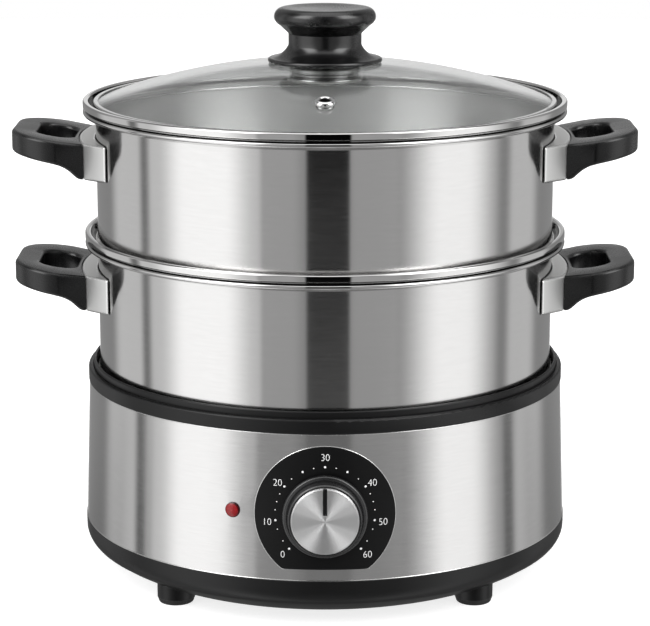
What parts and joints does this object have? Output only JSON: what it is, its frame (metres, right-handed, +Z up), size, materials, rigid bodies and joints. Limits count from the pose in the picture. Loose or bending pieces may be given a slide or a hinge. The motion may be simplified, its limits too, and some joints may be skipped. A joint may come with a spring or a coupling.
{
  "type": "electric food steamer",
  "caption": "Round electric food steamer: stacked steel steaming tiers with side handles, domed glass lid with a knob, and a heated base with a timer dial and a lamp.",
  "frame": {"origin": "on the pot's axis, on the surface that the feet stand on", "axes": "+Z up, -Y the front with the timer dial, +X to the right as seen from the front"},
  "size_m": [0.3664, 0.3081, 0.3349],
  "materials": {
    "brushed_steel": "brushed stainless steel, fine horizontal grain",
    "polished_steel": "polished stainless steel",
    "black_plastic": "satin black moulded plastic",
    "phenolic": "satin black heat-proof phenolic",
    "dial_black": "semi-gloss black printed plate",
    "white_plastic": "natural white nylon",
    "rubber": "matt black rubber",
    "aluminium": "spun and satin aluminium",
    "glass": "clear tempered glass",
    "lamp_red": "clear red lens",
    "screw_steel": "zinc-plated steel"
  },
  "bodies": {
    "base": {"base_pan": "black_plastic", "base_housing_band": "brushed_steel", "base_top_ring": "black_plastic", "feet": "rubber", "case_bolts": "screw_steel", "water_bowl": "brushed_steel", "water_bowl_seal": "rubber", "heating_plate": "aluminium", "heating_element": "screw_steel", "element_screws": "screw_steel", "thermostat": "screw_steel", "thermal_fuse": "white_plastic", "thermal_fuse_clip": "screw_steel", "dial_plate": "dial_black", "timer_case": "white_plastic", "timer_bell": "screw_steel", "timer_bracket": "screw_steel", "timer_screws": "screw_steel", "lamp_lens": "lamp_red", "lamp_holder": "white_plastic", "cord_gland": "black_plastic", "gland_nut": "black_plastic", "terminal_block": "white_plastic"},
    "timer_dial": {"timer_knob": "black_plastic", "timer_knob_face": "aluminium", "timer_knob_pointer": "black_plastic", "timer_shaft": "screw_steel"},
    "lower_tier": {"lower_tier_pan": "brushed_steel", "lower_tier_floor": "brushed_steel", "lower_handle_screws": "screw_steel", "lower_left_bracket": "polished_steel", "lower_left_grip": "phenolic", "lower_right_bracket": "polished_steel", "lower_right_grip": "phenolic"},
    "upper_tier": {"upper_tier_pan": "brushed_steel", "upper_tier_floor": "brushed_steel", "upper_handle_screws": "screw_steel", "upper_left_bracket": "polished_steel", "upper_left_grip": "phenolic", "upper_right_bracket": "polished_steel", "upper_right_grip": "phenolic"},
    "lid": {"lid_glass": "glass", "lid_rim_band": "polished_steel", "lid_knob": "phenolic", "lid_knob_washer": "rubber", "lid_knob_boss": "polished_steel", "lid_knob_screw": "screw_steel", "lid_vent_eyelet": "polished_steel"}
  },
  "joints": [
    {"name": "timer_turn", "type": "hinge", "parent": "base", "child": "timer_dial", "pos_m": [0, -0.1384, 0.0695], "axis": [0, 1, 0], "range_deg": [-134, 134]},
    {"name": "lower_tier_lift", "type": "slide", "parent": "base", "child": "lower_tier", "axis": [0, 0, 1], "range_m": [0, 0.1]},
    {"name": "upper_tier_lift", "type": "slide", "parent": "lower_tier", "child": "upper_tier", "axis": [0, 0, 1], "range_m": [0, 0.1]},
    {"name": "lid_lift", "type": "slide", "parent": "upper_tier", "child": "lid", "axis": [0, 0, 1], "range_m": [0, 0.1]}
  ]
}
